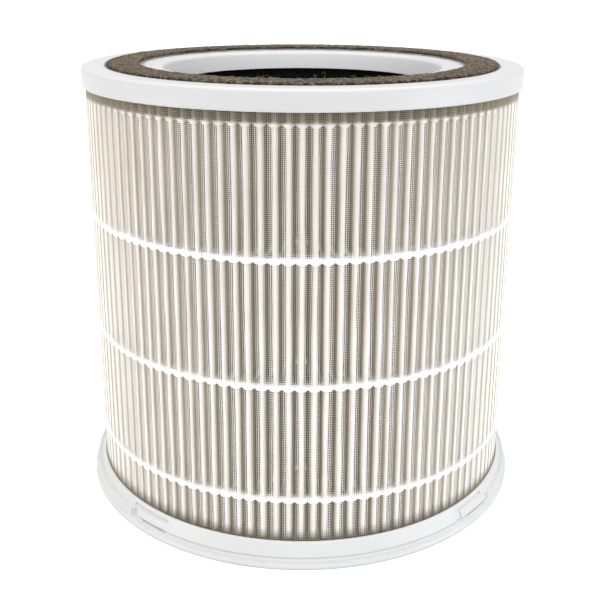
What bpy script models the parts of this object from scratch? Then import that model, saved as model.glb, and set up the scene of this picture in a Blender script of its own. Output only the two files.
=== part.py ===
"""Round replacement filter cartridge for an air purifier, with a mesh sleeve as pre-filter, a
pleated particle filter and a carbon bed.

The cartridge stands on the flat underside of its bottom cap.  The origin is the centre of that
underside, +Z points up to the sealing gasket and -Y is the front.  Lengths are in metres.
Azimuths are measured from the front (-Y) towards +X.
"""
from math import cos, pi, radians, sin

import bpy
import bmesh
from mathutils import Matrix

MM = 0.001
GAP = 0.25 * MM                     # space left between neighbouring pieces
MERGE_DISTANCE = 0.01 * MM

# Overall
CAP_TOP_Z = 178.1 * MM              # flat top of the top cap
GASKET_TOP_Z = 178.9 * MM
FLANGE_RADIUS = 93.9 * MM           # widest ring of the bottom cap

# Pleated pack
PLEATS = 116
PACK_RADIUS = 88.8 * MM             # outside of the mesh sleeve round the pleat tips
PACK_INNER_RADIUS = 65.2 * MM
MEDIA_THICKNESS = 0.5 * MM
MESH_THICKNESS = 0.25 * MM
TIP_HALF_WIDTH = 0.6 * MM           # half the flat of a media fold at the outside
FOLD_HALF_WIDTH = 0.8 * MM          # half the flat of a media fold at the inside
SEAM_HALF_WIDTH = 0.8 * MM          # half the distance between the two walls at the seam
SEAM_THICKNESS = 0.6 * MM
PACK_BOTTOM_Z = 6.6 * MM
PACK_TOP_Z = 172.6 * MM

# Top cap
TOP_CAP_RADIUS = 90.3 * MM
TOP_CAP_HEIGHT = 7.8 * MM
TOP_EDGE_REACH = 1.4 * MM           # how far the top edge's rounding runs along each face
SKIRT_EDGE_REACH = 0.8 * MM
EDGE_INSET = 0.4 * MM               # middle point of a rounded edge, in from its face
SKIRT_INNER_RADIUS = 89.1 * MM
PLATE_THICKNESS = 1.6 * MM
RECESS_FLOOR_RADIUS = 80.7 * MM
RECESS_TOP_RADIUS = 81.0 * MM
RECESS_DEPTH = 0.9 * MM
COLLAR_LIP_RADIUS = 58.1 * MM       # where the recess floor turns down into the collar
COLLAR_TOP_RADIUS = 57.6 * MM
COLLAR_NECK_RADIUS = 57.2 * MM      # foot of the lip's rounding
COLLAR_NECK_DROP = 1.0 * MM
COLLAR_BOTTOM_RADIUS = 54.3 * MM
COLLAR_DEPTH = 8.4 * MM
WALL = 1.3 * MM

# Gasket
GASKET_INNER_RADIUS = 67.0 * MM
GASKET_OUTER_RADIUS = 80.3 * MM
GASKET_EDGE = 0.5 * MM
ADHESIVE_THICKNESS = 0.2 * MM
ADHESIVE_MARGIN = 0.5 * MM

# Bottom cap
RIM_Z = 9.2 * MM
RIM_OUTER_RADIUS = 89.6 * MM
FLARE_FOOT_Z = 4.1 * MM             # where the sloping skirt ends above the groove
FLARE_FOOT_RADIUS = 92.1 * MM
GROOVE_Z = 3.6 * MM
GROOVE_RADIUS = 91.9 * MM
STEP_Z = 3.3 * MM                   # top of the step below the groove
STEP_TOP_RADIUS = 92.7 * MM
STEP_FOOT_Z = 2.1 * MM
STEP_FOOT_RADIUS = 93.0 * MM
FLANGE_SHOULDER_Z = 2.0 * MM
FLANGE_SHOULDER_RADIUS = 93.5 * MM
FLANGE_TOP_Z = 1.2 * MM
FLANGE_EDGE = 0.3 * MM
FOOT_INNER_RADIUS = 84.0 * MM
FOOT_TAPER = 1.0 * MM
FLOOR_UNDERSIDE_Z = 1.6 * MM
TROUGH_FLOOR_Z = 3.6 * MM
INNER_WALL_RADIUS = 57.3 * MM
INNER_WALL_TAPER = 0.6 * MM
SIDE_LEDGE_Z = 6.1 * MM
SIDE_LEDGE_RADIUS = 92.5 * MM
SIDE_LEDGE_FOOT_Z = 2.05 * MM
SIDE_LEDGE_FOOT_RADIUS = 93.3 * MM
SIDE_LEDGE_INNER_RADIUS = 89.4 * MM
SIDE_LEDGE_SPAN = (57.0, 133.2)     # azimuths of its two ends, degrees
SIDE_LEDGE_STEPS = 16

# Latch channels: heights, and angles counted in degrees from the channel's first edge
LATCH_AZIMUTH = 42.6
LATCH_COUNT = 4
LATCH_CUT_DEPTH = 0.7 * MM
LATCH_BOTTOM_Z = 2.6 * MM
LATCH_TOP_Z = 7.9 * MM
LATCH_RUN_Z = 6.7 * MM              # underside of the level run
LATCH_UNDERCUT_Z = 3.9 * MM         # top of the groove under the latch block
LATCH_ENTRY_SPAN = (0.0, 2.0)
LATCH_RUN_SPAN = (1.9, 12.5)
LATCH_UNDERCUT_SPAN = (4.2, 12.5)
LATCH_RUN_STEPS = 4
CUTTER_REACH = 2.0 * MM

# Glue
POTTING_THICKNESS = 2.4 * MM
BEAD_HEIGHTS = (165.7 * MM, 118.7 * MM, 71.2 * MM, 25.9 * MM)
OUTER_BEAD_HEIGHT = 2.2 * MM
OUTER_BEAD_THICKNESS = 0.4 * MM
INNER_BEAD_HEIGHT = 2.2 * MM
INNER_BEAD_THICKNESS = 0.9 * MM

# Carbon stage
CARBON_INNER_RADIUS = 59.7 * MM
CARBON_THICKNESS = 3.5 * MM
NET_THICKNESS = 0.4 * MM

CAP_SEGMENTS = 60
RING_SEGMENTS = PLEATS // 2
INNER_SEGMENTS = 32                 # rings that the pack and the caps enclose
SHARP_ANGLE = radians(35.0)

WHITE_PLASTIC = ("white_plastic", (0.86, 0.87, 0.87), 0.35)
MEDIA_PAPER = ("filter_paper", (0.82, 0.78, 0.72), 0.95)
MESH_NYLON = ("nylon_mesh", (0.72, 0.67, 0.60), 0.8)
HOT_MELT = ("hot_melt_glue", (0.93, 0.92, 0.89), 0.5)
GREY_FELT = ("felt", (0.16, 0.13, 0.10), 1.0)
CLEAR_ADHESIVE = ("adhesive_film", (0.75, 0.72, 0.62), 0.6)
BLACK_NET = ("black_net", (0.02, 0.02, 0.02), 0.6)
BLACK_CARBON = ("activated_carbon", (0.012, 0.012, 0.012), 0.9)


def clear_scene():
    for old in list(bpy.data.objects):
        bpy.data.objects.remove(old, do_unlink=True)


def new_collection(name):
    collection = bpy.data.collections.new(name)
    bpy.context.scene.collection.children.link(collection)
    return collection


def make_material(finish):
    name, colour, roughness = finish
    material = bpy.data.materials.get(name)
    if material is None:
        material = bpy.data.materials.new(name)
        material.use_nodes = True
        shader = material.node_tree.nodes["Principled BSDF"]
        shader.inputs["Base Color"].default_value = (*colour, 1.0)
        shader.inputs["Roughness"].default_value = roughness
        shader.inputs["Metallic"].default_value = 0.0
    return material


def profile_object(name, points, closed, collection):
    """A chain of edges in the XZ plane, from a list of (radius, height) pairs."""
    count = len(points)
    last = count if closed else count - 1
    edges = [(i, (i + 1) % count) for i in range(last)]
    mesh = bpy.data.meshes.new(name)
    mesh.from_pydata([(radius, 0.0, z) for radius, z in points], edges, [])
    piece = bpy.data.objects.new(name, mesh)
    collection.objects.link(piece)
    return piece


def turned(name, points, segments, finish, collection, closed=True):
    """A ring or disc turned about Z from its profile, outer side listed from top to bottom."""
    piece = profile_object(name, points, closed, collection)
    screw = piece.modifiers.new("Turn", "SCREW")
    screw.axis = "Z"
    screw.steps = segments
    screw.render_steps = segments
    screw.use_merge_vertices = True
    screw.merge_threshold = MERGE_DISTANCE
    piece.data.materials.append(make_material(finish))
    return piece


def ring(name, inner_radius, outer_radius, bottom, top, segments, finish, collection):
    points = [
        (outer_radius, top),
        (outer_radius, bottom),
        (inner_radius, bottom),
        (inner_radius, top),
    ]
    return turned(name, points, segments, finish, collection)


def sector(name, points, start, end, segments, collection):
    """A closed profile swept about Z from one azimuth to another, with flat ends."""
    mesh = bpy.data.meshes.new(name)
    piece = bpy.data.objects.new(name, mesh)
    collection.objects.link(piece)
    shape = bmesh.new()
    corners = [shape.verts.new((radius, 0.0, z)) for radius, z in points]
    face = shape.faces.new(corners)
    # Azimuth 0 is the front, -Y, so a profile at +X starts a quarter turn on from there.
    turn = Matrix.Rotation(radians(start - 90.0), 4, "Z")
    bmesh.ops.transform(shape, matrix=turn, verts=shape.verts[:])
    bmesh.ops.spin(
        shape,
        geom=[face] + face.edges[:] + face.verts[:],
        axis=(0.0, 0.0, 1.0),
        cent=(0.0, 0.0, 0.0),
        steps=segments,
        angle=radians(end - start),
        use_duplicate=False,
    )
    bmesh.ops.remove_doubles(shape, verts=shape.verts[:], dist=MERGE_DISTANCE)
    bmesh.ops.recalc_face_normals(shape, faces=shape.faces[:])
    shape.to_mesh(mesh)
    shape.free()
    return piece


def join_or_cut(piece, other, operation):
    boolean = piece.modifiers.new(operation.title(), "BOOLEAN")
    boolean.operation = operation
    boolean.solver = "EXACT"
    boolean.object = other
    other.hide_render = True
    other.display_type = "WIRE"


def pleat_points(tip_radius, tip_half, fold_radius, fold_half, seam_half):
    """The folded sheet's centre line in plan, from the seam at the back round to the seam.

    Each pleat has a short flat at its tip and at its fold.  The pleat at the seam has no
    tip: its two walls run side by side and end there.
    """
    pitch = 2 * pi / PLEATS
    points = []

    def add(radius, azimuth, offset):
        angle = azimuth + offset / radius
        points.append((radius * sin(angle), -radius * cos(angle)))

    for index in range(PLEATS):
        tip_azimuth = pi + index * pitch
        if index == 0:
            add(tip_radius, tip_azimuth, seam_half)
        else:
            add(tip_radius, tip_azimuth, -tip_half)
            add(tip_radius, tip_azimuth, tip_half)
        fold_azimuth = tip_azimuth + pitch / 2
        add(fold_radius, fold_azimuth, -fold_half)
        add(fold_radius, fold_azimuth, fold_half)
    add(tip_radius, pi, -seam_half)
    return points


def pleated_sheet(name, points, thickness, finish, collection):
    """A ribbon standing on a folded centre line, thickened both ways."""
    curve = bpy.data.curves.new(name, "CURVE")
    curve.dimensions = "2D"
    curve.fill_mode = "NONE"
    curve.extrude = (PACK_TOP_Z - PACK_BOTTOM_Z) / 2
    spline = curve.splines.new("POLY")
    spline.points.add(len(points) - 1)
    for point, (x, y) in zip(spline.points, points):
        point.co = (x, y, 0.0, 1.0)
    piece = bpy.data.objects.new(name, curve)
    piece.location.z = (PACK_TOP_Z + PACK_BOTTOM_Z) / 2
    collection.objects.link(piece)
    solidify = piece.modifiers.new("Thickness", "SOLIDIFY")
    solidify.thickness = thickness
    solidify.offset = 0.0
    solidify.use_even_offset = True
    curve.materials.append(make_material(finish))
    return piece


def build_top_cap(collection):
    """A channel ring: outer skirt, recessed plate for the gasket and inner collar."""
    bottom = CAP_TOP_Z - TOP_CAP_HEIGHT
    recess_z = CAP_TOP_Z - RECESS_DEPTH
    ceiling = recess_z - PLATE_THICKNESS
    collar_z = CAP_TOP_Z - COLLAR_DEPTH
    points = [
        (TOP_CAP_RADIUS - TOP_EDGE_REACH, CAP_TOP_Z),
        (TOP_CAP_RADIUS - EDGE_INSET, CAP_TOP_Z - EDGE_INSET),
        (TOP_CAP_RADIUS, CAP_TOP_Z - TOP_EDGE_REACH),
        (TOP_CAP_RADIUS, bottom + SKIRT_EDGE_REACH),
        (TOP_CAP_RADIUS - EDGE_INSET, bottom),
        (SKIRT_INNER_RADIUS, bottom),
        (SKIRT_INNER_RADIUS, ceiling),
        (COLLAR_TOP_RADIUS + WALL, ceiling),
        (COLLAR_BOTTOM_RADIUS + WALL, collar_z),
        (COLLAR_BOTTOM_RADIUS, collar_z),
        (COLLAR_NECK_RADIUS, recess_z - COLLAR_NECK_DROP),
        (COLLAR_LIP_RADIUS, recess_z),
        (RECESS_FLOOR_RADIUS, recess_z),
        (RECESS_TOP_RADIUS, CAP_TOP_Z),
    ]
    return turned("top_end_cap", points, CAP_SEGMENTS, WHITE_PLASTIC, collection)


def build_gasket(collection):
    """The felt ring that seals against the machine, and the film that holds it."""
    film_bottom = CAP_TOP_Z - RECESS_DEPTH + GAP
    film_top = film_bottom + ADHESIVE_THICKNESS
    ring(
        "gasket_adhesive",
        GASKET_INNER_RADIUS + ADHESIVE_MARGIN,
        GASKET_OUTER_RADIUS - ADHESIVE_MARGIN,
        film_bottom,
        film_top,
        INNER_SEGMENTS,
        CLEAR_ADHESIVE,
        collection,
    )
    bottom = film_top + GAP
    points = [
        (GASKET_OUTER_RADIUS - GASKET_EDGE, GASKET_TOP_Z),
        (GASKET_OUTER_RADIUS, GASKET_TOP_Z - GASKET_EDGE),
        (GASKET_OUTER_RADIUS, bottom),
        (GASKET_INNER_RADIUS, bottom),
        (GASKET_INNER_RADIUS, GASKET_TOP_Z - GASKET_EDGE),
        (GASKET_INNER_RADIUS + GASKET_EDGE, GASKET_TOP_Z),
    ]
    turned("top_gasket", points, RING_SEGMENTS, GREY_FELT, collection)


def build_bottom_cap(collection, cutters):
    """A closed dish with a flared skirt, a stepped flange and four latch channels."""
    outer = [
        (RIM_OUTER_RADIUS, RIM_Z),
        (FLARE_FOOT_RADIUS, FLARE_FOOT_Z),
        (GROOVE_RADIUS, GROOVE_Z),
        (STEP_TOP_RADIUS, STEP_Z),
        (STEP_FOOT_RADIUS, STEP_FOOT_Z),
        (FLANGE_SHOULDER_RADIUS, FLANGE_SHOULDER_Z),
        (FLANGE_RADIUS, FLANGE_TOP_Z),
        (FLANGE_RADIUS, FLANGE_EDGE),
        (FLANGE_RADIUS - FLANGE_EDGE, 0.0),
        (FOOT_INNER_RADIUS, 0.0),
        (FOOT_INNER_RADIUS - FOOT_TAPER, FLOOR_UNDERSIDE_Z),
        (0.0, FLOOR_UNDERSIDE_Z),
    ]
    inner = [
        (0.0, TROUGH_FLOOR_Z),
        (INNER_WALL_RADIUS - INNER_WALL_TAPER, TROUGH_FLOOR_Z),
        (INNER_WALL_RADIUS, RIM_Z),
        (INNER_WALL_RADIUS + WALL, RIM_Z),
        (INNER_WALL_RADIUS + WALL, TROUGH_FLOOR_Z),
        (SKIRT_INNER_RADIUS, TROUGH_FLOOR_Z),
        (SKIRT_INNER_RADIUS, RIM_Z),
    ]
    profile = inner + outer
    cap = turned("bottom_end_cap", profile, CAP_SEGMENTS, WHITE_PLASTIC, collection, closed=False)

    # The flange is taller over two opposite sectors, at the left and at the right.
    ledge = [
        (SIDE_LEDGE_INNER_RADIUS, SIDE_LEDGE_Z),
        (SIDE_LEDGE_RADIUS, SIDE_LEDGE_Z),
        (SIDE_LEDGE_FOOT_RADIUS, SIDE_LEDGE_FOOT_Z),
        (SIDE_LEDGE_INNER_RADIUS, SIDE_LEDGE_FOOT_Z),
    ]
    for side in range(2):
        start, end = (azimuth + 180.0 * side for azimuth in SIDE_LEDGE_SPAN)
        name = "flange_ledge_%d" % (side + 1)
        block = sector(name, ledge, start, end, SIDE_LEDGE_STEPS, cutters)
        join_or_cut(cap, block, "UNION")

    # Each latch channel is an L: an upright entry and a level run above the latch block.
    entry = channel_profile(LATCH_BOTTOM_Z, LATCH_TOP_Z)
    run = channel_profile(LATCH_RUN_Z, LATCH_TOP_Z)
    undercut = channel_profile(LATCH_BOTTOM_Z, LATCH_UNDERCUT_Z)
    legs = (
        ("entry", entry, LATCH_ENTRY_SPAN, 1),
        ("run", run, LATCH_RUN_SPAN, LATCH_RUN_STEPS),
        ("undercut", undercut, LATCH_UNDERCUT_SPAN, LATCH_RUN_STEPS),
    )
    for index in range(LATCH_COUNT):
        first_edge = LATCH_AZIMUTH + index * 360.0 / LATCH_COUNT
        for leg_name, section, span, steps in legs:
            name = "latch_%s_%d" % (leg_name, index + 1)
            start, end = (first_edge + angle for angle in span)
            cutter = sector(name, section, start, end, steps, cutters)
            join_or_cut(cap, cutter, "DIFFERENCE")
    return cap


def channel_profile(low, high):
    """The section of a cutter whose inner side runs parallel to the flare, inside it."""
    slope = (FLARE_FOOT_RADIUS - RIM_OUTER_RADIUS) / (RIM_Z - FLARE_FOOT_Z)
    low_radius = RIM_OUTER_RADIUS + (RIM_Z - low) * slope - LATCH_CUT_DEPTH
    high_radius = RIM_OUTER_RADIUS + (RIM_Z - high) * slope - LATCH_CUT_DEPTH
    beyond = FLANGE_RADIUS + CUTTER_REACH
    return [(low_radius, low), (high_radius, high), (beyond, high), (beyond, low)]


def build_potting(collection):
    """The two layers of glue that hold the pack in the caps."""
    inner = COLLAR_TOP_RADIUS + WALL + 2 * GAP
    outer = SKIRT_INNER_RADIUS - GAP
    for name, bottom in (
        ("top_potting", PACK_TOP_Z + GAP),
        ("bottom_potting", PACK_BOTTOM_Z - GAP - POTTING_THICKNESS),
    ):
        top = bottom + POTTING_THICKNESS
        ring(name, inner, outer, bottom, top, INNER_SEGMENTS, HOT_MELT, collection)


def build_pack(collection):
    """The pleated paper, the mesh sleeve round it and the strip that joins the paper's ends."""
    mesh_inner = PACK_RADIUS - MESH_THICKNESS
    ring(
        "prefilter_mesh",
        mesh_inner,
        PACK_RADIUS,
        PACK_BOTTOM_Z,
        PACK_TOP_Z,
        PLEATS,
        MESH_NYLON,
        collection,
    )
    media_tip = mesh_inner - GAP - MEDIA_THICKNESS / 2
    media_fold = PACK_INNER_RADIUS + MEDIA_THICKNESS / 2
    media = pleat_points(media_tip, TIP_HALF_WIDTH, media_fold, FOLD_HALF_WIDTH, SEAM_HALF_WIDTH)
    pleated_sheet("pleated_media", media, MEDIA_THICKNESS, MEDIA_PAPER, collection)

    seam_inner = media_fold + MEDIA_THICKNESS
    seam_outer = media_tip
    bpy.ops.mesh.primitive_cube_add(size=1.0)
    seam = bpy.context.active_object
    seam.name = "pleat_seam_strip"
    seam.data.transform(
        Matrix.Diagonal((SEAM_THICKNESS, seam_outer - seam_inner, PACK_TOP_Z - PACK_BOTTOM_Z, 1.0))
    )
    seam.location = (0.0, (seam_inner + seam_outer) / 2, (PACK_TOP_Z + PACK_BOTTOM_Z) / 2)
    seam.data.materials.append(make_material(HOT_MELT))
    for old in list(seam.users_collection):
        old.objects.unlink(seam)
    collection.objects.link(seam)


def build_beads(collection):
    """Rings of hot-melt glue: outside they bind the mesh to the pleat tips, inside the folds."""
    outer_inner = PACK_RADIUS + GAP
    inner_outer = PACK_INNER_RADIUS - GAP
    for index, centre in enumerate(BEAD_HEIGHTS, start=1):
        ring(
            "outer_glue_bead_%d" % index,
            outer_inner,
            outer_inner + OUTER_BEAD_THICKNESS,
            centre - OUTER_BEAD_HEIGHT / 2,
            centre + OUTER_BEAD_HEIGHT / 2,
            PLEATS,
            HOT_MELT,
            collection,
        )
        ring(
            "inner_glue_bead_%d" % index,
            inner_outer - INNER_BEAD_THICKNESS,
            inner_outer,
            centre - INNER_BEAD_HEIGHT / 2,
            centre + INNER_BEAD_HEIGHT / 2,
            INNER_SEGMENTS,
            HOT_MELT,
            collection,
        )


def build_carbon_stage(collection):
    """The carbon granules between two net sleeves."""
    carbon_outer = CARBON_INNER_RADIUS + CARBON_THICKNESS
    rings = (
        ("carbon_inner_net", CARBON_INNER_RADIUS - GAP - NET_THICKNESS, NET_THICKNESS, BLACK_NET),
        ("carbon_bed", CARBON_INNER_RADIUS, CARBON_THICKNESS, BLACK_CARBON),
        ("carbon_outer_net", carbon_outer + GAP, NET_THICKNESS, BLACK_NET),
    )
    for name, inner, thickness, finish in rings:
        outer = inner + thickness
        ring(name, inner, outer, PACK_BOTTOM_Z, PACK_TOP_Z, INNER_SEGMENTS, finish, collection)


def shade_smooth(collection):
    """Give every piece its final mesh, with smooth round sides and sharp corners."""
    depsgraph = bpy.context.evaluated_depsgraph_get()
    for piece in list(collection.objects):
        mesh = bpy.data.meshes.new_from_object(piece.evaluated_get(depsgraph))
        mesh.name = piece.name
        mesh.shade_smooth()
        mesh.set_sharp_from_angle(angle=SHARP_ANGLE)
        finished = bpy.data.objects.new(piece.name, mesh)
        finished.matrix_world = piece.matrix_world
        collection.objects.link(finished)
        name = piece.name
        bpy.data.objects.remove(piece, do_unlink=True)
        finished.name = name


def main():
    clear_scene()
    cartridge = new_collection("air_purifier_filter_cartridge")
    cutters = new_collection("cutters")
    build_top_cap(cartridge)
    build_gasket(cartridge)
    build_bottom_cap(cartridge, cutters)
    build_potting(cartridge)
    build_pack(cartridge)
    build_beads(cartridge)
    build_carbon_stage(cartridge)
    shade_smooth(cartridge)


main()
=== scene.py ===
"""The looks of a round air purifier filter cartridge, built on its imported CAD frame."""
from math import cos, hypot, pi, radians, sin
from types import SimpleNamespace

import bpy
import numpy as np
from mathutils import Euler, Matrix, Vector, noise


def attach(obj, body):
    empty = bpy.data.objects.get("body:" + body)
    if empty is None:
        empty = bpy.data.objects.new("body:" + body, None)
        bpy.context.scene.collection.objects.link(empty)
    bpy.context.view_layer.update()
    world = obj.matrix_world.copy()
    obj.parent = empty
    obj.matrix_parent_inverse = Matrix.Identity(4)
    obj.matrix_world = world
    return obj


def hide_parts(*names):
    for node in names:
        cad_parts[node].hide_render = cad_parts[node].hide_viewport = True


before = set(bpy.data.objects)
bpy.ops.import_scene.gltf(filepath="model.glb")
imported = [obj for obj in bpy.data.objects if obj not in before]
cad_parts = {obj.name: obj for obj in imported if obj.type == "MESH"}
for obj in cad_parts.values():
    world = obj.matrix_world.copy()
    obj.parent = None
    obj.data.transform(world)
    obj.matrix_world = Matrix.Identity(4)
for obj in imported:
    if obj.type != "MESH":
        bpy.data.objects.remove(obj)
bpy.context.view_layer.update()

MM = 0.001
BODY = "root"
PLEATS = 116
PITCH = 2 * pi / PLEATS
BEADS = (1, 2, 3, 4)


def ring_of(node):
    """The inner and outer radius and the lowest and highest z of a CAD ring."""
    points = [vertex.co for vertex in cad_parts[node].data.vertices]
    radii = [hypot(point.x, point.y) for point in points]
    heights = [point.z for point in points]
    return SimpleNamespace(inner=min(radii), outer=max(radii), low=min(heights), high=max(heights))


TOP_CAP = ring_of("top_end_cap")
BOTTOM_CAP = ring_of("bottom_end_cap")
GASKET = ring_of("top_gasket")
PAPER = ring_of("pleated_media")
MESH = ring_of("prefilter_mesh")
INNER_NET = ring_of("carbon_inner_net")
CARBON = ring_of("carbon_bed")
BEAD_RINGS = [ring_of("outer_glue_bead_%d" % number) for number in BEADS]
BEAD_Z = [(bead.low + bead.high) / 2 for bead in BEAD_RINGS]


# ---------------------------------------------------------------- mesh helpers

def make_object(name, vertices, faces, material):
    """A smooth-shaded piece of the cartridge, with its material slot."""
    mesh = bpy.data.meshes.new(name)
    mesh.from_pydata(vertices, [], faces)
    mesh.update()
    mesh.shade_smooth()
    mesh.materials.append(material)
    piece = bpy.data.objects.new(name, mesh)
    bpy.context.scene.collection.objects.link(piece)
    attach(piece, BODY)
    return piece


def grid_faces(columns, rows, wrap_columns, wrap_rows):
    """Quads of a grid whose vertex index is column * rows + row."""
    faces = []
    for i in range(columns if wrap_columns else columns - 1):
        a = i * rows
        b = (i + 1) % columns * rows
        for j in range(rows if wrap_rows else rows - 1):
            k = (j + 1) % rows
            faces.append((a + j, b + j, b + k, a + k))
    return faces


def at(radius, azimuth, z):
    """A point from its azimuth, measured from the front (-Y) towards +X."""
    return (radius * sin(azimuth), -radius * cos(azimuth), z)


def rounded(corners, fillets, steps=5):
    """A closed (radius, z) outline with each corner rounded by its own fillet length."""
    outline = []
    count = len(corners)
    for i, (corner, fillet) in enumerate(zip(corners, fillets)):
        here = Vector(corner)
        if fillet == 0:
            outline.append(tuple(here))
            continue
        before = Vector(corners[i - 1]) - here
        after = Vector(corners[(i + 1) % count]) - here
        start = here + before.normalized() * min(fillet, before.length * 0.49)
        end = here + after.normalized() * min(fillet, after.length * 0.49)
        for step in range(steps + 1):
            t = step / steps
            outline.append(tuple(start * (1 - t) ** 2 + here * 2 * t * (1 - t) + end * t * t))
    return outline


def turn(name, outline, segments, material):
    """A ring turned from a closed outline, listed anticlockwise in the (radius, z) plane."""
    vertices = []
    for i in range(segments):
        azimuth = 2 * pi * i / segments
        vertices.extend(at(radius, azimuth, z) for radius, z in outline)
    faces = grid_faces(segments, len(outline), True, True)
    return make_object(name, vertices, faces, material)


def smoothstep(low, high, value):
    """0 below low and 1 above high, with a smooth rise between them."""
    t = min(1.0, max(0.0, (value - low) / (high - low)))
    return t * t * (3 - 2 * t)


# ---------------------------------------------------------------- materials

class Nodes:
    """A short way to write a node tree; most methods return the output of the node they add."""

    def __init__(self, tree):
        self.tree = tree

    def link(self, out, into):
        self.tree.links.new(out, into)

    def add(self, kind, **settings):
        node = self.tree.nodes.new(kind)
        for key, value in settings.items():
            setattr(node, key, value)
        return node

    def fill(self, socket, value):
        """Set the socket to a number or a colour, or link it to an output."""
        if isinstance(value, tuple):
            socket.default_value = (*value, 1.0)
        elif isinstance(value, (int, float)):
            socket.default_value = value
        else:
            self.link(value, socket)

    def coordinates(self, space="Object"):
        return self.add("ShaderNodeTexCoord").outputs[space]

    def axes(self, space="Object"):
        """The X, Y and Z of the coordinates, as outputs found by those names."""
        split = self.add("ShaderNodeSeparateXYZ")
        self.link(self.coordinates(space), split.inputs[0])
        return split.outputs

    def noise(self, scale, detail=3.0, roughness=0.5):
        node = self.add("ShaderNodeTexNoise")
        node.inputs["Scale"].default_value = scale
        node.inputs["Detail"].default_value = detail
        node.inputs["Roughness"].default_value = roughness
        self.link(self.coordinates(), node.inputs["Vector"])
        return node.outputs["Fac"]

    def ramp(self, fac, *stops):
        node = self.add("ShaderNodeValToRGB")
        elements = node.color_ramp.elements
        while len(elements) < len(stops):
            elements.new(0.5)
        for element, (position, colour) in zip(elements, stops):
            element.position = position
            element.color = (*colour, 1.0)
        self.link(fac, node.inputs["Fac"])
        return node.outputs["Color"]

    def math(self, operation, a, b=0.5, c=0.0):
        node = self.add("ShaderNodeMath", operation=operation)
        for socket, value in zip(node.inputs, (a, b, c)):
            self.fill(socket, value)
        return node.outputs["Value"]

    def mix(self, fac, a, b):
        """A blend of two colours; a colour mix node has its sockets at 0, 6 and 7."""
        node = self.add("ShaderNodeMix", data_type="RGBA")
        for index, value in ((0, fac), (6, a), (7, b)):
            self.fill(node.inputs[index], value)
        return node.outputs[2]

    def remap(self, value, low, high, to_low=0.0, to_high=1.0):
        node = self.add("ShaderNodeMapRange")
        for socket, number in zip(node.inputs[1:5], (low, high, to_low, to_high)):
            socket.default_value = number
        self.link(value, node.inputs[0])
        return node.outputs["Result"]


class MaterialNodes(Nodes):
    """A new material with its node tree round one Principled shader."""

    def __init__(self, name, colour, roughness):
        self.material = bpy.data.materials.new(name)
        self.material.use_nodes = True
        super().__init__(self.material.node_tree)
        self.shader = self.tree.nodes["Principled BSDF"]
        self.set("Base Color", (*colour, 1.0))
        self.set("Roughness", roughness)

    def set(self, socket, value):
        self.shader.inputs[socket].default_value = value

    def bump(self, height, strength, distance):
        node = self.add("ShaderNodeBump")
        node.inputs["Strength"].default_value = strength
        node.inputs["Distance"].default_value = distance
        self.link(height, node.inputs["Height"])
        self.link(node.outputs["Normal"], self.shader.inputs["Normal"])

    def colour(self, out):
        self.link(out, self.shader.inputs["Base Color"])

    def roughness(self, out):
        self.link(out, self.shader.inputs["Roughness"])


def grey(value):
    """A neutral colour."""
    return (value, value, value)


# The colour of the painted shade towards the pack's top.
TOP_SHADE = (0.46, 0.40, 0.31)
CLEAN_GLUE = (0.93, 0.92, 0.90)


def white_plastic(name, tone):
    """Satin injection-moulded plastic: slight mottle and a very fine moulded grain."""
    n = MaterialNodes(name, grey(tone), 0.38)
    n.colour(n.ramp(n.noise(18.0, 2.0), (0.3, grey(tone * 0.985)), (0.7, grey(tone * 1.02))))
    n.roughness(n.remap(n.noise(240.0, 3.0), 0.3, 0.7, 0.34, 0.46))
    n.bump(n.noise(2600.0, 2.0, 0.6), 0.12, 0.00004)
    return n.material


def nylon_mesh():
    """White nylon monofilament, slightly translucent, whitened where glue tints it; painted darker as
    painted shade over the valleys, towards the top and beside both caps.
    """
    n = MaterialNodes("nylon_mesh_filament", (0.88, 0.85, 0.80), 0.5)
    patches = n.noise(60.0, 3.0)
    clean = n.ramp(patches, (0.3, (0.85, 0.825, 0.785)), (0.7, (0.90, 0.88, 0.85)))
    # Painted shade: threads over the valleys are darker, and those over the middle of a valley darker
    # still.
    valley_shaded = n.ramp(patches, (0.3, (0.70, 0.645, 0.555)), (0.7, (0.79, 0.74, 0.655)))
    between = n.mix(over_valley(n, 0.14, 0.26), clean, valley_shaded)
    deep_shade = n.math("MULTIPLY", over_valley(n, 0.29, 0.45), 0.86)
    between = n.mix(deep_shade, between, (0.20, 0.163, 0.113))
    between = n.mix(shade_towards_top(n), between, TOP_SHADE)
    between = n.mix(glue_soaked(n), between, CLEAN_GLUE)
    between = n.mix(shade_above_bottom_cap(n), between, (0.25, 0.20, 0.14))
    n.colour(n.mix(shade_under_top_cap(n), between, (0.33, 0.275, 0.195)))
    n.bump(n.noise(3500.0, 2.0), 0.2, 0.00003)
    return n.material


def shade_under_top_cap(n):
    """0 below the top glue line, rising to 1 in the strip of painted shade between it and the cap."""
    return n.remap(n.axes()["Z"], BEAD_Z[0] + 0.2 * MM, BEAD_Z[0] + 1.6 * MM)


def shade_towards_top(n):
    """A share of painted shade that grows from the middle of the pack to its top."""
    return n.remap(n.axes()["Z"], 85.0 * MM, 150.0 * MM, 0.0, 0.17)


def glue_soaked(n):
    """0.85 at each lower glue line, falling to 0 where the glue stops climbing above it."""
    z = n.axes()["Z"]
    total = 0.0
    for centre in BEAD_Z[1:]:
        fade = n.remap(z, centre + 0.5 * MM, centre + 3.4 * MM, 0.85, 0.0)
        above = n.math("GREATER_THAN", z, centre - 0.4 * MM)
        total = n.math("MULTIPLY_ADD", fade, above, total)
    return total


def shade_above_bottom_cap(n):
    """0 up the pack, rising to 0.95 in the strip of painted shade just above the bottom cap's rim."""
    return n.remap(n.axes()["Z"], BOTTOM_CAP.high + 4.5 * MM, BOTTOM_CAP.high, 0.0, 0.95)


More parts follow.
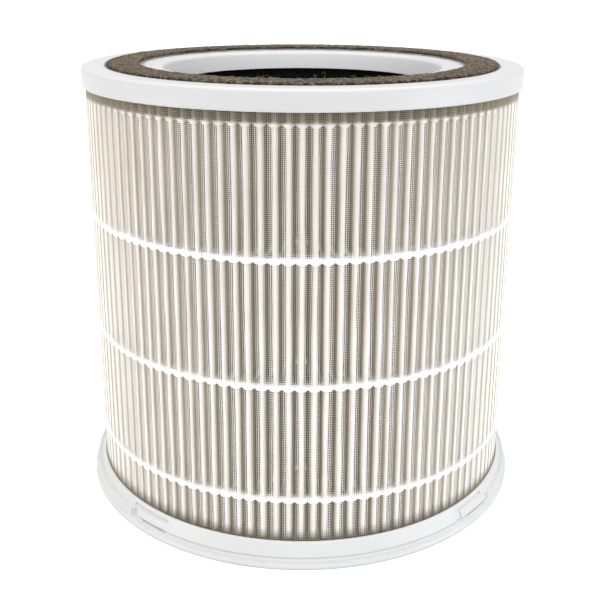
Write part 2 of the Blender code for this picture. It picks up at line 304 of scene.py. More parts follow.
def over_valley(n, near, far):
    """0 over a pleat's tip, rising to 1 over the valley beside it, where the valley's shade is painted.

    near and far are parts of a pleat's pitch, measured from its tip.
    """
    axes = n.axes()
    azimuth = n.math("ARCTAN2", axes["X"], n.math("MULTIPLY", axes["Y"], -1.0))
    phase = n.math("FRACT", n.math("MULTIPLY_ADD", azimuth, 1.0 / PITCH, PLEATS + 0.5))
    return n.remap(n.math("ABSOLUTE", n.math("SUBTRACT", phase, 0.5)), near, far)


def radius_from_axis(n):
    """The distance from the cartridge's axis, in metres."""
    axes = n.axes()
    square = n.math("MULTIPLY", axes["X"], axes["X"])
    square = n.math("MULTIPLY_ADD", axes["Y"], axes["Y"], square)
    return n.math("SQRT", square)


def filter_paper():
    """White glass-fibre and polymer paper with loose flat fibres, painted darker as painted shade with
    depth into the valleys, towards the top and beside both caps.
    """
    n = MaterialNodes("filter_paper_fibres", (0.9, 0.86, 0.82), 0.92)
    fibres = n.noise(900.0, 6.0, 0.7)
    # Painted shade: the paper darkens with its depth below the pleat tips.
    depth = n.remap(radius_from_axis(n), PAPER.outer - 12.0 * MM, PAPER.outer - 0.3 * MM)
    shade = n.ramp(
        depth,
        (0.0, (0.025, 0.018, 0.009)),
        (0.35, (0.038, 0.027, 0.014)),
        (0.68, (0.105, 0.078, 0.046)),
        (0.84, (0.36, 0.30, 0.212)),
        (0.90, (0.58, 0.52, 0.425)),
        (0.945, (0.80, 0.76, 0.705)),
        (0.975, (0.91, 0.885, 0.865)),
    )
    fleck = n.mix(n.remap(fibres, 0.25, 0.75, 0.0, 0.08), shade, (0.40, 0.35, 0.28))
    fleck = n.mix(shade_towards_top(n), fleck, TOP_SHADE)
    fleck = n.mix(n.math("MULTIPLY", glue_soaked(n), 0.45), fleck, CLEAN_GLUE)
    fleck = n.mix(shade_above_bottom_cap(n), fleck, (0.10, 0.075, 0.047))
    n.colour(n.mix(n.math("MULTIPLY", shade_under_top_cap(n), 0.7), fleck, (0.12, 0.092, 0.06)))
    n.bump(fibres, 0.4, 0.0001)
    return n.material


def hot_melt(name, shadowed):
    """White hot-melt glue, smooth and waxy; a shadowed one darkens where it sinks behind the net."""
    n = MaterialNodes(name, CLEAN_GLUE, 0.4)
    lumps = n.noise(700.0, 2.0)
    white = n.ramp(lumps, (0.3, (0.83, 0.815, 0.79)), (0.7, (0.885, 0.875, 0.86)))
    if shadowed:
        sunk = n.remap(radius_from_axis(n), MESH.outer - 0.15 * MM, MESH.outer - 1.6 * MM)
        white = n.mix(n.math("MULTIPLY", over_valley(n, 0.14, 0.30), 0.35), white, (0.50, 0.47, 0.42))
        white = n.mix(sunk, white, (0.30, 0.265, 0.21))
    n.colour(white)
    n.roughness(n.remap(lumps, 0.3, 0.7, 0.32, 0.5))
    n.bump(lumps, 0.3, 0.00015)
    n.set("Subsurface Weight", 0.15)
    n.set("Subsurface Scale", 0.0015)
    return n.material


def shaded_potting_glue():
    """Poured glue round the pack's ends, painted dark tan as the shade it lies in between the pleats."""
    n = MaterialNodes("potting_glue_painted_shade", (0.26, 0.2, 0.14), 0.6)
    n.colour(n.ramp(n.noise(90.0, 3.0), (0.3, (0.22, 0.17, 0.115)), (0.7, (0.30, 0.235, 0.165))))
    return n.material


def felt():
    """Needled brown-grey felt with mixed light and dark fibres."""
    n = MaterialNodes("gasket_felt", (0.2, 0.16, 0.12), 1.0)
    fibres = n.noise(1500.0, 8.0, 0.75)
    tufts = n.noise(620.0, 4.0, 0.6)
    both = n.math("MULTIPLY_ADD", tufts, 0.55, n.math("MULTIPLY", fibres, 0.5))
    n.colour(
        n.ramp(
            both,
            (0.42, (0.003, 0.002, 0.001)),
            (0.50, (0.021, 0.015, 0.008)),
            (0.57, (0.088, 0.066, 0.039)),
            (0.66, (0.26, 0.205, 0.135)),
        )
    )
    n.bump(fibres, 0.8, 0.0006)
    return n.material


def felt_fibre():
    """Single loose fibres of the felt, brown to pale."""
    n = MaterialNodes("felt_loose_fibres", (0.5, 0.42, 0.33), 0.8)
    n.colour(
        n.ramp(n.noise(900.0, 1.0), (0.35, (0.10, 0.075, 0.05)), (0.65, (0.42, 0.34, 0.25)))
    )
    return n.material


def black_net():
    """Extruded black polymer netting."""
    n = MaterialNodes("black_net_strands", (0.012, 0.012, 0.013), 0.45)
    n.colour(n.ramp(n.noise(500.0, 2.0), (0.3, (0.008, 0.008, 0.009)), (0.7, (0.02, 0.02, 0.021))))
    n.bump(n.noise(1800.0, 2.0), 0.2, 0.00008)
    return n.material


def activated_carbon():
    """Packed black granules."""
    n = MaterialNodes("activated_carbon_granules", grey(0.008), 0.7)
    cells = n.add("ShaderNodeTexVoronoi")
    cells.inputs["Scale"].default_value = 620.0
    n.link(n.coordinates(), cells.inputs["Vector"])
    # Painted shade: the granules darken towards the gaps between them, where the surface recedes.
    n.colour(n.ramp(cells.outputs["Distance"], (0.1, grey(0.016)), (0.7, grey(0.004))))
    n.roughness(n.remap(n.noise(800.0), 0.3, 0.7, 0.5, 0.9))
    n.bump(cells.outputs["Distance"], 0.7, -0.0006)
    return n.material


def adhesive_film():
    """The pale film that holds the felt to the cap."""
    n = MaterialNodes("adhesive_film_clear", (0.7, 0.68, 0.6), 0.45)
    n.colour(n.ramp(n.noise(160.0), (0.3, (0.66, 0.63, 0.55)), (0.7, (0.74, 0.72, 0.65))))
    return n.material


def studio_floor():
    """A matt, nearly white ground."""
    n = MaterialNodes("studio_floor", grey(0.76), 0.9)
    n.colour(n.ramp(n.noise(3.0, 2.0), (0.0, grey(0.755)), (1.0, grey(0.77))))
    return n.material


# ---------------------------------------------------------------- caps

WALL = 1.3 * MM
SKIRT_INNER = 89.1 * MM

CAP_TOP_Z = TOP_CAP.high
COLLAR_TOP = 57.6 * MM            # the collar's radius where it leaves the plate
RECESS_DEPTH = 0.9 * MM           # the gasket's seat below the rim
RECESS_GAPS = (0.4 * MM, 0.7 * MM)  # clearance round the gasket, at the seat and at the rim
PLATE_THICKNESS = 1.6 * MM
SKIRT_HEIGHT = 7.8 * MM
SKIRT_DRAFT = 0.05 * MM
CAP_SEGMENTS = 288

# Bottom cap heights are measured up from the foot, and azimuths are degrees from the front.
DISH_THICKNESS = 1.6 * MM
DISH_WALL = 57.3 * MM             # inner radius of the dish's inner wall
FOOT_SPAN = (84.0 * MM, 90.0 * MM)
GROOVE_Z = 3.6 * MM
STEP_Z = 2.1 * MM                 # top of the flange, where the side ledges begin
STEP_RADIUS = 93.2 * MM
LEDGE_Z = 6.1 * MM
LEDGE_RADIUS = 92.5 * MM
LEDGE_SPAN = (57.0, 133.2)
LATCH_START = 42.6
LATCH_SPACING = 90.0
LATCH_DEPTH = 0.7 * MM
LUG_RISE = 0.25 * MM
ENTRY_SPAN, ENTRY_RISE = (0.0, 2.0), (2.6 * MM, 7.9 * MM)
RUN_SPAN, RUN_RISE = (0.0, 12.5), (6.7 * MM, 7.9 * MM)
UNDERCUT_SPAN, UNDERCUT_RISE = (4.2, 12.5), (2.6 * MM, 3.9 * MM)
LUG_SPAN, LUG_HEIGHTS = (2.6, 11.6), (4.3 * MM, 6.3 * MM)
EDGE = 0.28 * MM                  # how far each moulded step is spread
SHARP_ANGLE = radians(40.0)


def build_top_cap(material):
    """The channel ring: skirt, recessed plate and inner collar."""
    cad = TOP_CAP
    recess_z = CAP_TOP_Z - RECESS_DEPTH
    ceiling = recess_z - PLATE_THICKNESS
    skirt_low = CAP_TOP_Z - SKIRT_HEIGHT
    seat_gap, rim_gap = RECESS_GAPS
    section = (
        # radius, z, fillet in mm
        (cad.outer, CAP_TOP_Z, 1.6),
        (GASKET.outer + rim_gap, CAP_TOP_Z, 0.35),
        (GASKET.outer + seat_gap, recess_z, 0.15),
        (COLLAR_TOP, recess_z, 1.6),
        (cad.inner, cad.low, 0.3),
        (cad.inner + WALL, cad.low, 0.3),
        (COLLAR_TOP + WALL, ceiling, 0.3),
        (SKIRT_INNER, ceiling, 0.3),
        (SKIRT_INNER, skirt_low, 0.2),
        (cad.outer - SKIRT_DRAFT, skirt_low, 0.9),
    )
    corners = [(radius, z) for radius, z, _ in section]
    fillets = [fillet * MM for _, _, fillet in section]
    cap = turn("top_cap", rounded(corners, fillets), CAP_SEGMENTS, material)
    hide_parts("top_end_cap")


def flare(z):
    """The bottom cap's outside radius at a height, away from its ledges and latches."""
    steps = (
        (0.0, 93.55),
        (0.35, 93.9),
        (1.15, 93.9),
        (1.75, 93.45),
        (2.05, 93.4),
        (2.15, 93.0),
        (3.2, 92.75),
        (3.4, 92.0),
        (3.75, 91.95),
        (4.1, 92.1),
        (8.75, 89.88),
        (9.2, 89.5),
    )
    heights = [height * MM for height, _ in steps]
    radii = [radius * MM for _, radius in steps]
    return float(np.interp(z, heights, radii))


def band(value, low, high, edge):
    """1 between low and high, falling to 0 over edge at each side."""
    return smoothstep(low - edge / 2, low + edge / 2, value) * (
        1 - smoothstep(high - edge / 2, high + edge / 2, value)
    )


def bottom_radius(azimuth, z):
    """The bottom cap's outside radius with its side ledges and its four latch channels."""
    radius = flare(z)
    turn_edge = EDGE / radius * 180 / pi
    half_turn = azimuth % 180.0
    side = band(half_turn, *LEDGE_SPAN, 2 * turn_edge)
    if z > STEP_Z:
        ledge = float(np.interp(z, (STEP_Z, LEDGE_Z), (STEP_RADIUS, LEDGE_RADIUS)))
        rise = 1 - smoothstep(LEDGE_Z - EDGE / 2, LEDGE_Z + EDGE / 2, z)
        radius = max(radius, flare(z) + (ledge - flare(z)) * rise * side)
    local = (azimuth - LATCH_START) % LATCH_SPACING
    entry = band(local, *ENTRY_SPAN, turn_edge) * band(z, *ENTRY_RISE, EDGE)
    run = band(local, *RUN_SPAN, turn_edge) * band(z, *RUN_RISE, EDGE)
    undercut = band(local, *UNDERCUT_SPAN, turn_edge) * band(z, *UNDERCUT_RISE, EDGE)
    lug = band(local, *LUG_SPAN, turn_edge) * band(z, *LUG_HEIGHTS, EDGE)
    return radius - LATCH_DEPTH * max(entry, run, undercut) + LUG_RISE * lug


def bottom_azimuths():
    """Column azimuths in degrees: even steps, with finer ones at each feature's ends."""
    coarse = [2.0 * i for i in range(180)]
    latch_edges = sorted({*ENTRY_SPAN, *RUN_SPAN, *UNDERCUT_SPAN, *LUG_SPAN})
    across_edge = range(-2, 3)
    fine = []
    for quarter in range(4):
        start = LATCH_START + LATCH_SPACING * quarter
        for edge in latch_edges:
            fine.extend(start + edge + 0.09 * step for step in across_edge)
    for half in range(2):
        for edge in LEDGE_SPAN:
            fine.extend(180.0 * half + edge + 0.18 * step for step in across_edge)
    return sorted(set(round(azimuth % 360.0, 3) for azimuth in coarse + fine))


def bottom_heights():
    """Row heights up the outside, closer together where the section steps."""
    flange = (0.0, 0.15, 0.35, 1.15, 1.5, 1.75, 1.95, 2.05, 2.15)
    groove = (2.3, 2.46, 2.6, 2.74, 3.0, 3.2, 3.3, 3.4, 3.6, 3.76, 3.9, 4.04)
    lug = (4.16, 4.3, 4.44, 5.0, 5.6, 5.96, 6.1, 6.24, 6.4)
    skirt = (6.56, 6.7, 6.84, 7.3, 7.76, 7.9, 8.04, 8.5, 9.0, 9.13, 9.2)
    return [height * MM for height in flange + groove + lug + skirt]


def build_bottom_cap(material):
    """The closed dish with its flared skirt, drawn as one skin from axis to axis."""
    rim_z = BOTTOM_CAP.high
    floor_z = GROOVE_Z
    near_axis = 0.5 * MM
    foot_inner, foot_outer = FOOT_SPAN
    outside = bottom_heights()
    inside = rounded(
        [
            (SKIRT_INNER, rim_z),
            (SKIRT_INNER, floor_z),
            (DISH_WALL + WALL, floor_z),
            (DISH_WALL + WALL, rim_z),
            (DISH_WALL, rim_z),
            (DISH_WALL - 0.6 * MM, floor_z),
            (near_axis, floor_z),
        ],
        [0.12 * MM, 0.4 * MM, 0.4 * MM, 0.4 * MM, 0.4 * MM, 0.8 * MM, 0],
    )
    underside = rounded(
        [
            (near_axis, DISH_THICKNESS),
            (foot_inner - 1.0 * MM, DISH_THICKNESS),
            (foot_inner, 0.0),
            (foot_outer, 0.0),
        ],
        [0, 0.4 * MM, 0.3 * MM, 0],
    )
    azimuths = bottom_azimuths()
    vertices = []
    for azimuth in azimuths:
        angle = radians(azimuth)
        column = [at(bottom_radius(azimuth, z), angle, z) for z in outside]
        column += [at(radius, angle, z) for radius, z in inside]
        column += [at(radius, angle, z) for radius, z in underside]
        vertices.extend(column)
    rows = len(outside) + len(inside) + len(underside)
    inner_end = len(outside) + len(inside) - 1
    faces = []
    for a, b, c, d in grid_faces(len(azimuths), rows, True, True):
        if a % rows != inner_end:
            faces.append((a, b, c, d))
    vertices.append((0.0, 0.0, floor_z))
    vertices.append((0.0, 0.0, DISH_THICKNESS))
    centre = len(vertices) - 2
    for i in range(len(azimuths)):
        a = i * rows + inner_end
        b = (i + 1) % len(azimuths) * rows + inner_end
        faces.append((a, b, centre))
        faces.append((b + 1, a + 1, centre + 1))
    cap = make_object("bottom_cap", vertices, faces, material)
    cap.data.set_sharp_from_angle(angle=SHARP_ANGLE)
    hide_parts("bottom_end_cap")


# ---------------------------------------------------------------- pleats

PAPER_THICKNESS = 0.42 * MM
TIP_RADIUS = PAPER.outer - PAPER_THICKNESS / 2
FOLD_RADIUS = PAPER.inner + PAPER_THICKNESS / 2
TIP_HALF = 0.5 * MM
TIP_STEPS = 4
FOLD_HALF = 0.7 * MM
FOLD_STEPS = 2
SHOULDERS = ((1.1, 0.72), (2.2, 0.92), (4.5, 1.08), (12.0, 1.1))  # depth and half width in mm
SHEET_LEVELS = 17
SEAM_START = 2                    # the sheet's ends stop at this point of the section, at the back


def pleat_levels():
    """Heights at which a pleat may lean: its ends, the glue lines and two between each pair."""
    lines = sorted(BEAD_Z)
    levels = [PAPER.low]
    for low, high in zip(lines[:-1], lines[1:]):
        levels.extend((low, (2 * low + high) / 3, (low + 2 * high) / 3))
    return levels + [lines[-1], PAPER.high]


SEED = 11
draw = np.random.RandomState(SEED)
noise.seed_set(SEED)              # without it noise_vector differs from run to run
LEVELS = pleat_levels()
SWAY = draw.normal(0.0, 0.07, (PLEATS, len(LEVELS))) * MM
SWAY += draw.normal(0.0, 0.22, (PLEATS, 1)) * MM
SETBACK = np.abs(draw.normal(0.0, 0.12, (PLEATS, len(LEVELS)))) * MM
WIDTH = 1 + draw.normal(0.0, 0.10, (PLEATS, len(LEVELS)))


def smooth_levels(table):
    """Each pleat's values at any height, on a smooth curve through its level values."""
    heights = np.array(LEVELS)

    def value(pleat, z):
        i = int(np.clip(np.searchsorted(heights, z) - 1, 0, len(heights) - 2))
        t = (z - heights[i]) / (heights[i + 1] - heights[i])
        t = t * t * (3 - 2 * t)
        return table[pleat, i] * (1 - t) + table[pleat, i + 1] * t

    return value


sway_at = smooth_levels(SWAY)
setback_at = smooth_levels(SETBACK)
width_at = smooth_levels(WIDTH)


def half_section():
    """(radius, kind, value) from the middle of a tip to the middle of the next fold."""
    section = []
    for step in range(TIP_STEPS + 1):
        bend = pi / 2 * step / TIP_STEPS
        section.append((TIP_RADIUS - TIP_HALF * (1 - cos(bend)), "tip", TIP_HALF * sin(bend)))
    for depth, half_width in SHOULDERS:
        section.append((TIP_RADIUS - depth * MM, "tip", half_width * MM))
    for step in range(FOLD_STEPS + 1):
        bend = pi / 2 * step / FOLD_STEPS
        section.append((FOLD_RADIUS + FOLD_HALF * (1 - sin(bend)), "fold", FOLD_HALF * cos(bend)))
    return section


def half_pleat(pleat, side, z, section):
    """Points from a tip to the fold on one side of it (-1 or 1) at a height."""
    tip = pi + pleat * PITCH + sway_at(pleat, z) / TIP_RADIUS
    fold = pi + (pleat + side * 0.5) * PITCH
    width = width_at(pleat, z)
    setback = setback_at(pleat, z)
    points = []
    for radius, kind, value in section:
        share = (radius - FOLD_RADIUS) / (TIP_RADIUS - FOLD_RADIUS)
        if kind == "tip":
            azimuth = tip + side * value * width / radius
        else:
            azimuth = fold - side * value / radius
        points.append(at(radius - setback * share, azimuth, z))
    return points


def build_paper(material):
    """The folded sheet, from its seam at the back round to the seam again."""
    section = half_section()
    last = len(section) - 1
    levels = [float(z) for z in np.linspace(PAPER.low, PAPER.high, SHEET_LEVELS)]
    columns = []
    for pleat in range(PLEATS + 1):
        index = pleat % PLEATS
        if pleat > 0:
            rows = [half_pleat(index, -1, z, section) for z in levels]
            first = 1 if pleat < PLEATS else SEAM_START
            columns.extend([row[step] for row in rows] for step in range(last - 1, first - 1, -1))
        if pleat < PLEATS:
            rows = [half_pleat(index, 1, z, section) for z in levels]
            first = 0 if pleat > 0 else SEAM_START
            columns.extend([row[step] for row in rows] for step in range(first, last + 1))
    vertices = [point for column in columns for point in column]
    faces = grid_faces(len(columns), SHEET_LEVELS, False, False)
    paper = make_object("pleated_paper", vertices, faces, material)
    solidify = paper.modifiers.new("Thickness", "SOLIDIFY")
    solidify.thickness = PAPER_THICKNESS
    solidify.offset = 0.0
    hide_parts("pleated_media")


# ---------------------------------------------------------------- mesh sleeve

WEAVE = 0.693 * MM
THREAD_WIDTH = 0.16 * MM
THREAD_HEIGHT = 0.12 * MM
OVERLAP = 8.0 * MM
LAP_LIFT = 0.12 * MM              # how far the lapped end stands off the one beneath
WARP_LIFT = 0.04 * MM             # how far upright threads stand off the cross threads
WARP_LEVELS = 15
NET_RADIUS = MESH.outer - THREAD_HEIGHT - 0.06 * MM
WARP_COUNT = round(2 * pi * NET_RADIUS / WEAVE)
WEFT_COUNT = round((MESH.high - MESH.low) / WEAVE)
LAP_COUNT = round(OVERLAP / WEAVE)
WEFT_STATIONS = PLEATS + 3        # a full turn, and one pleat's lap at each end


def cloth_shift(azimuth, z):
    """How far the weave has slipped from its even grid, sideways and upwards."""
    spot = Vector((sin(azimuth), -cos(azimuth), z / MESH.outer))
    coarse = noise.noise_vector(spot * 6.0)
    fine = noise.noise_vector(spot * 25.0 + Vector((9.0, 4.0, 2.0)))
    return (coarse.x * 0.5 + fine.x * 0.22) * MM, (coarse.y * 0.5 + fine.y * 0.22) * MM


def add_thread(vertices, faces, path, side_azimuth, side_z):
    """A thread laid on the sleeve: two faces that meet along its outward ridge."""
    first = len(vertices)
    for radius, azimuth, z in path:
        vertices.append(at(radius, azimuth - side_azimuth, z - side_z))
        vertices.append(at(radius + THREAD_HEIGHT, azimuth, z))
        vertices.append(at(radius, azimuth + side_azimuth, z + side_z))
    for i in range(len(path) - 1):
        a = first + i * 3
        for strip in (0, 1):
            faces.append((a + strip, a + strip + 1, a + strip + 4, a + strip + 3))


def warp_path(index):
    """An upright thread, as (radius, azimuth, z)."""
    azimuth = pi + (index - LAP_COUNT / 2) * 2 * pi / WARP_COUNT
    lift = LAP_LIFT if index >= WARP_COUNT else 0.0
    path = []
    for z in np.linspace(MESH.low, MESH.high, WARP_LEVELS):
        slip, _ = cloth_shift(azimuth, z)
        path.append((NET_RADIUS + WARP_LIFT + lift, azimuth + slip / NET_RADIUS, z))
    return path


def weft_path(index):
    """A cross thread that runs from one pleat before the back to one past it, as (radius, azimuth, z)."""
    z = weft_z(index)
    path = []
    for station in range(WEFT_STATIONS):
        azimuth = pi + (station - 1) * PITCH
        _, slip = cloth_shift(azimuth, z)
        lift = LAP_LIFT if station > PLEATS else 0.0
        path.append((NET_RADIUS + lift, azimuth, z + slip))
    return path


def weft_z(index):
    """The height of a cross thread before it slips."""
    return MESH.low + (index + 0.5) * WEAVE


def build_mesh_sleeve(material):
    """A square nylon net round the pleat tips, lapped at the back."""
    half = THREAD_WIDTH / 2
    vertices = []
    faces = []
    for index in range(WARP_COUNT + LAP_COUNT):
        add_thread(vertices, faces, warp_path(index), half / NET_RADIUS, 0.0)
    for index in range(WEFT_COUNT):
        add_thread(vertices, faces, weft_path(index), 0.0, half)
    sleeve = make_object("mesh_sleeve", vertices, faces, material)
    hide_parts("prefilter_mesh")


# ---------------------------------------------------------------- glue

WEB_TOP = 3.4 * MM
WEB_BOTTOM = 0.5 * MM
WEB_LEVELS = 5
WEB_LIFT = 0.1 * MM
BEAD_STATIONS = 14
MOUTH_POWER = 2.4                 # how sharply a line draws back between two tips


def web_half_width(azimuth, above, number):
    """Half the width of the glue round a thread at a height above the line's middle."""
    drawn = noise.noise(Vector((azimuth * 13.0, number * 5.3, 8.0)))
    reach = (WEB_TOP - WEB_BOTTOM) * (0.85 + 0.45 * drawn)
    share = 1 - min(1.0, max(0.0, (above - WEB_BOTTOM) / reach))
    return (0.02 + 0.30 * share * share) * MM


def add_webs(vertices, faces, centre, number):
    """Glue drawn up the net's threads above the line, in flat strips that narrow upwards."""
    radius = NET_RADIUS + WEB_LIFT
    levels = [centre + above for above in np.linspace(WEB_BOTTOM, WEB_TOP, WEB_LEVELS)]
    for index in range(WARP_COUNT):
        azimuth = pi + index * 2 * pi / WARP_COUNT
        first = len(vertices)
        for z in levels:
            slip, _ = cloth_shift(azimuth, z)
            half = web_half_width(azimuth, z - centre, number) / radius
            middle = azimuth + slip / NET_RADIUS
            vertices.append(at(radius, middle - half, z))
            vertices.append(at(radius, middle + half, z))
        for a in range(first, first + 2 * len(levels) - 2, 2):
            faces.append((a, a + 1, a + 3, a + 2))
    stations = 2 * PLEATS
    for index in range(WEFT_COUNT):
        row_z = weft_z(index)
        if not WEB_BOTTOM < row_z - centre < WEB_TOP + 0.5 * MM:
            continue
        first = len(vertices)
        for station in range(stations):
            azimuth = pi + station * PITCH / 2
            _, slip = cloth_shift(azimuth, row_z)
            half = web_half_width(azimuth, row_z + slip - centre, number)
            vertices.append(at(radius, azimuth, row_z + slip - half))
            vertices.append(at(radius, azimuth, row_z + slip + half))
        for station in range(stations):
            a = first + 2 * station
            b = first + 2 * ((station + 1) % stations)
            faces.append((a, b, b + 1, a + 1))


def bridged_shape(centre, across, lump):
    """Front radius, depth, low, high and climb of a lower line, which sags behind the net."""
    mouth = across ** MOUTH_POWER
    inside = smoothstep(0.34, 0.62, across)
    front = MESH.outer + (0.16 - 0.30 * mouth) * MM
    depth = (1.1 + 1.2 * inside) * MM
    low = centre - (1.3 - 0.8 * mouth + 0.12 * lump) * MM
    high = centre + (0.65 - 0.45 * mouth + 0.14 * lump) * MM
    return front, depth, low, high, 0.8 * inside * MM


def arched_shape(centre, across, lump, spread):
    """The same of the top line, which arches over most valleys and fills others more."""
    mouth = across ** MOUTH_POWER
    extra = 1.5 * max(0.0, spread)
    front = PAPER.outer + (0.15 - 0.45 * mouth) * MM
    depth = (0.9 + extra) * MM
    arch = 1.6 * mouth - extra * mouth
    low = centre - (0.85 - arch + 0.1 * lump) * MM
    high = centre + (0.75 + 0.05 * lump) * MM
    return front, depth, min(low, high - 0.12 * MM), high, 0.0


def bead_section(front, depth, low, high, climb):
    """The (radius, z) outline of a glue line, rounded at the front and climbing to the back."""
    soft = min(0.35 * MM, (high - low) * 0.45)
    return (
        (front - soft * 1.2, low),
        (front - soft * 0.35, low + soft * 0.35),
        (front, low + soft * 1.1),
        (front, high - soft * 1.1),
        (front - soft * 0.35, high - soft * 0.35),
        (front - soft * 1.2, high),
        (front - depth * 0.35, high + climb * 0.45),
        (front - depth, high + climb),
        (front - depth, low),
        (front - depth * 0.5, low),
    )


def build_bead(number, centre, material, bridged):
    """A line of glue through the mesh: over the pleat tips and back into the valleys."""
    vertices = []
    for pleat in range(PLEATS):
        following = (pleat + 1) % PLEATS
        for station in range(BEAD_STATIONS):
            u = station / BEAD_STATIONS
            across = 1 - abs(2 * u - 1)
            shift = sway_at(pleat, centre) * (1 - u) + sway_at(following, centre) * u
            azimuth = pi + (pleat + u) * PITCH + shift / TIP_RADIUS
            lump = noise.noise(Vector((azimuth * 31.0, number * 3.1, 0.0)))
            if bridged:
                shape = bridged_shape(centre, across, lump)
            else:
                spread = noise.noise(Vector((azimuth * 7.0, number * 7.7, 4.0)))
                shape = arched_shape(centre, across, lump, spread)
            vertices.extend(at(radius, azimuth, z) for radius, z in bead_section(*shape))
    columns = PLEATS * BEAD_STATIONS
    faces = grid_faces(columns, len(vertices) // columns, True, True)
    if bridged:
        add_webs(vertices, faces, centre, number)
    bead = make_object("glue_line_%d" % number, vertices, faces, material)
    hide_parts("outer_glue_bead_%d" % number)


# ---------------------------------------------------------------- felt gasket

GASKET_SEGMENTS = 420
FELT_STEP = 0.8 * MM
LYING_FIBRES = 3200
LYING_STEPS = 5
STRAY_FIBRES = 22
STRAY_STEPS = 14
FIBRE_RADIUS = 0.05 * MM


def refined(outline, spacing):
    """A closed outline with points added along its longer edges, at least spacing apart."""
    points = []
    for start, end in zip(outline, outline[1:] + outline[:1]):
        steps = max(1, int(hypot(end[0] - start[0], end[1] - start[1]) / spacing))
        for step in range(steps):
            t = step / steps
            points.append((start[0] + (end[0] - start[0]) * t, start[1] + (end[1] - start[1]) * t))
    return points


def build_gasket(material):
    """A soft felt ring with rounded, slightly uneven edges."""
    corners = [
        (GASKET.outer, GASKET.high),
        (GASKET.inner, GASKET.high),
        (GASKET.inner, GASKET.low),
        (GASKET.outer, GASKET.low),
    ]
    outline = refined(rounded(corners, [0.8 * MM, 0.8 * MM, 0.3 * MM, 0.3 * MM], 6), FELT_STEP)
    middle_radius = (GASKET.inner + GASKET.outer) / 2
    middle_z = (GASKET.low + GASKET.high) / 2
    vertices = []
    for i in range(GASKET_SEGMENTS):
        azimuth = 2 * pi * i / GASKET_SEGMENTS
        wide = noise.noise(Vector((cos(azimuth) * 2.0, sin(azimuth) * 2.0, 5.0))) * 0.15 * MM
        for radius, z in outline:
            spot = Vector(at(radius, azimuth, z))
            lump = (noise.noise(spot * 160.0) * 0.08 + noise.noise(spot * 700.0) * 0.07) * MM
            away = Vector((radius - middle_radius, (z - middle_z) * 6))
            away.normalize()
            new_z = max(GASKET.low, z + away.y * lump)
            vertices.append(at(radius + away.x * (lump + wide), azimuth, new_z))
    faces = grid_faces(GASKET_SEGMENTS, len(outline), True, True)
    gasket = make_object("felt_gasket", vertices, faces, material)
    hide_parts("top_gasket")


def add_strand(vertices, faces, path, radius):
    """A three-sided strand along a path, closed at both ends."""
    first = len(vertices)
    count = len(path)
    for i, point in enumerate(path):
        ahead = path[min(i + 1, count - 1)] - path[max(i - 1, 0)]
        side = ahead.cross(Vector((0.0, 0.0, 1.0)))
        if side.length < 1e-9:
            side = Vector((1.0, 0.0, 0.0))
        side.normalize()
        up = side.cross(ahead).normalized()
        for corner in range(3):
            turn_angle = 2 * pi * corner / 3
            vertices.append(tuple(point + (side * cos(turn_angle) + up * sin(turn_angle)) * radius))
    for i in range(count - 1):
        for corner in range(3):
            a = first + i * 3 + corner
            b = first + i * 3 + (corner + 1) % 3
            faces.append((a, b, b + 3, a + 3))
    faces.append((first + 2, first + 1, first))
    end = first + (count - 1) * 3
    faces.append((end, end + 1, end + 2))


def lying_fibre():
    """The path of a loose fibre on top of the felt."""
    azimuth = draw.uniform(0.0, 2 * pi)
    radius = draw.uniform(GASKET.inner, GASKET.outer)
    heading = draw.uniform(0.0, 2 * pi)
    bend = draw.normal(0.0, 0.9)
    length = draw.uniform(1.2, 3.6) * MM
    lift = draw.uniform(-0.12, 0.06) * MM
    arch = abs(draw.normal(0.0, 0.22)) * MM
    x, y, _ = at(radius, azimuth, 0.0)
    path = []
    for step in range(LYING_STEPS + 1):
        t = step / LYING_STEPS
        edge = min(hypot(x, y) - GASKET.inner, GASKET.outer - hypot(x, y))
        fall = max(0.0, 0.8 * MM - edge)
        z = GASKET.high + lift + arch * sin(pi * t) - fall * 0.6
        path.append(Vector((x, y, z)))
        x += cos(heading + bend * t) * length / LYING_STEPS
        y += sin(heading + bend * t) * length / LYING_STEPS
    return path


def stray_fibre():
    """The path of a curled fibre that stands off the felt's inner edge."""
    azimuth = draw.uniform(0.0, 2 * pi)
    curl = draw.uniform(0.5, 1.1) * MM
    rise = draw.uniform(0.8, 2.4) * MM
    turns = draw.uniform(0.4, 1.1)
    lean = draw.uniform(-1.5, 1.5) * MM
    path = []
    for step in range(STRAY_STEPS + 1):
        t = step / STRAY_STEPS
        along = lean * t + curl * sin(2 * pi * turns * t)
        inward = curl * (1 - cos(2 * pi * turns * t))
        radius = GASKET.inner + 0.6 * MM - inward * 0.8
        z = GASKET.high - 0.3 * MM + rise * sin(pi * 0.75 * t)
        path.append(Vector(at(radius, azimuth + along / radius, z)))
    return path


def build_fibres(material):
    """Loose fibres lying on the felt, and a few that stand off its inner edge."""
    paths = [lying_fibre() for _ in range(LYING_FIBRES)]
    paths += [stray_fibre() for _ in range(STRAY_FIBRES)]
    vertices = []
    faces = []
    for path in paths:
        add_strand(vertices, faces, path, FIBRE_RADIUS)
    make_object("felt_fibres", vertices, faces, material)


# ---------------------------------------------------------------- carbon stage

NET_STRANDS = 84
NET_STEPS = 60
NET_STRAND_RADIUS = 0.28 * MM
CROSSING_OFFSET = 0.12 * MM
GRANULE_COLUMNS = 360
GRANULE_ROWS = 150
GRANULES_PER_METRE = 420.0
GRANULE_DEPTH = 0.7 * MM


